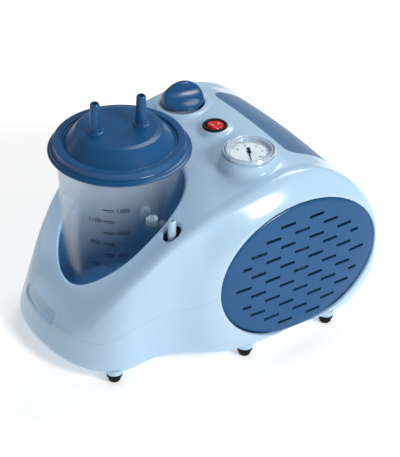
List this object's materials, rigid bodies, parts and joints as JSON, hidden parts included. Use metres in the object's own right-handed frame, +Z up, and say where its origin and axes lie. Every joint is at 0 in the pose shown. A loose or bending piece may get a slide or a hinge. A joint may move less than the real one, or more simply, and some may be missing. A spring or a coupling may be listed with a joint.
{
  "type": "suction pump",
  "caption": "Portable suction pump: sloping moulded housing with side grilles, clear collection jar in a well, vacuum gauge, regulator knob, rocker switch and piston pump inside.",
  "frame": {"origin": "centre of the bounding box, at floor level", "axes": "+Z up, -Y towards the jar at the front, +X towards the side with the gauge and the vacuum nipple"},
  "size_m": [0.2238, 0.2972, 0.236],
  "materials": {
    "pale_shell": "glossy moulded plastic, pale blue",
    "navy_gloss": "glossy moulded plastic, dark blue",
    "slate_satin": "satin moulded plastic, grey blue",
    "black_plastic": "satin black plastic",
    "red_rocker": "translucent glossy red",
    "foot_rubber": "moulded rubber, near black",
    "mount_rubber": "moulded rubber",
    "clear_jar": "clear polycarbonate",
    "clear_lens": "clear acrylic",
    "silicone": "translucent silicone",
    "float_white": "milky plastic",
    "gauge_steel": "bright plated steel",
    "dial_white": "printed white card",
    "needle_black": "black",
    "zinc_steel": "zinc plated",
    "bearing_steel": "ground steel",
    "lamination": "laminated steel",
    "cast_aluminium": "die cast, satin",
    "chassis_metal": "grey painted steel plate"
  },
  "bodies": {
    "housing": {"top_cover": "pale_shell", "base_shell": "pale_shell", "vacuum_nipple": "pale_shell", "side_grille_right": "navy_gloss", "side_grille_left": "navy_gloss", "rear_handle": "slate_satin", "jar_well": "slate_satin", "power_inlet": "black_plastic", "switch_body": "black_plastic", "regulator_valve": "black_plastic", "foot_1": "foot_rubber", "foot_2": "foot_rubber", "foot_3": "foot_rubber", "foot_4": "foot_rubber", "foot_5": "foot_rubber", "foot_6": "foot_rubber", "rubber_mount_1": "mount_rubber", "rubber_mount_2": "mount_rubber", "rubber_mount_3": "mount_rubber", "rubber_mount_4": "mount_rubber", "gauge_lens": "clear_lens", "hose_pump": "silicone", "hose_nipple": "silicone", "gauge_body": "gauge_steel", "gauge_bezel": "gauge_steel", "gauge_dial": "dial_white", "housing_screw_1": "zinc_steel", "housing_screw_2": "zinc_steel", "housing_screw_3": "zinc_steel", "housing_screw_4": "zinc_steel", "head_stud_1": "zinc_steel", "head_stud_2": "zinc_steel", "head_stud_3": "zinc_steel", "head_stud_4": "zinc_steel", "regulator_collar": "zinc_steel", "valve_plate": "zinc_steel", "bearing_rear": "bearing_steel", "bearing_front": "bearing_steel", "motor_housing": "cast_aluminium", "motor_end_bell": "cast_aluminium", "crankcase": "cast_aluminium", "cylinder_sleeve": "cast_aluminium", "cylinder_head": "cast_aluminium", "chassis_plate": "chassis_metal"},
    "rocker": {"switch_rocker": "red_rocker"},
    "knob": {"regulator_knob": "navy_gloss"},
    "needle": {"gauge_needle": "needle_black"},
    "jar": {"collection_jar": "clear_jar"},
    "lid": {"jar_lid": "navy_gloss", "lid_gasket": "silicone", "float_cage": "float_white"},
    "float": {"shutoff_float": "silicone"},
    "fuse_tray": {"fuse_drawer": "black_plastic"},
    "rotor": {"motor_shaft": "bearing_steel", "rotor_core": "lamination", "cooling_fan": "black_plastic", "eccentric": "bearing_steel"},
    "piston": {"connecting_rod": "cast_aluminium", "piston_cup": "mount_rubber"}
  },
  "joints": [
    {"name": "rocker_tilt", "type": "hinge", "parent": "housing", "child": "rocker", "pos_m": [-0.006, 0.044, 0.1675], "axis": [1, 0, 0], "range_deg": [0, 16]},
    {"name": "knob_turn", "type": "hinge", "parent": "housing", "child": "knob", "pos_m": [-0.06, 0.044, 0.17], "axis": [0, 0, 1], "range_deg": [-300, 0]},
    {"name": "needle_sweep", "type": "hinge", "parent": "housing", "child": "needle", "pos_m": [0.051, 0.042, 0.17], "axis": [0, 0, 1], "range_deg": [0, 240]},
    {"name": "jar_lift", "type": "slide", "parent": "housing", "child": "jar", "axis": [0, 0, 1], "range_m": [0, 0.15]},
    {"name": "lid_lift", "type": "slide", "parent": "jar", "child": "lid", "axis": [0, 0, 1], "range_m": [0, 0.1]},
    {"name": "float_rise", "type": "slide", "parent": "lid", "child": "float", "axis": [0, 0, 1], "range_m": [0, 0.008]},
    {"name": "fuse_tray_pull", "type": "slide", "parent": "housing", "child": "fuse_tray", "axis": [0, 1, 0], "range_m": [0, 0.012]},
    {"name": "rotor_spin", "type": "hinge", "parent": "housing", "child": "rotor", "pos_m": [0, 0.072, 0.066], "axis": [1, 0, 0], "continuous": true},
    {"name": "piston_stroke", "type": "slide", "parent": "housing", "child": "piston", "axis": [0, 0, 1], "range_m": [-0.003, 0.003]}
  ]
}
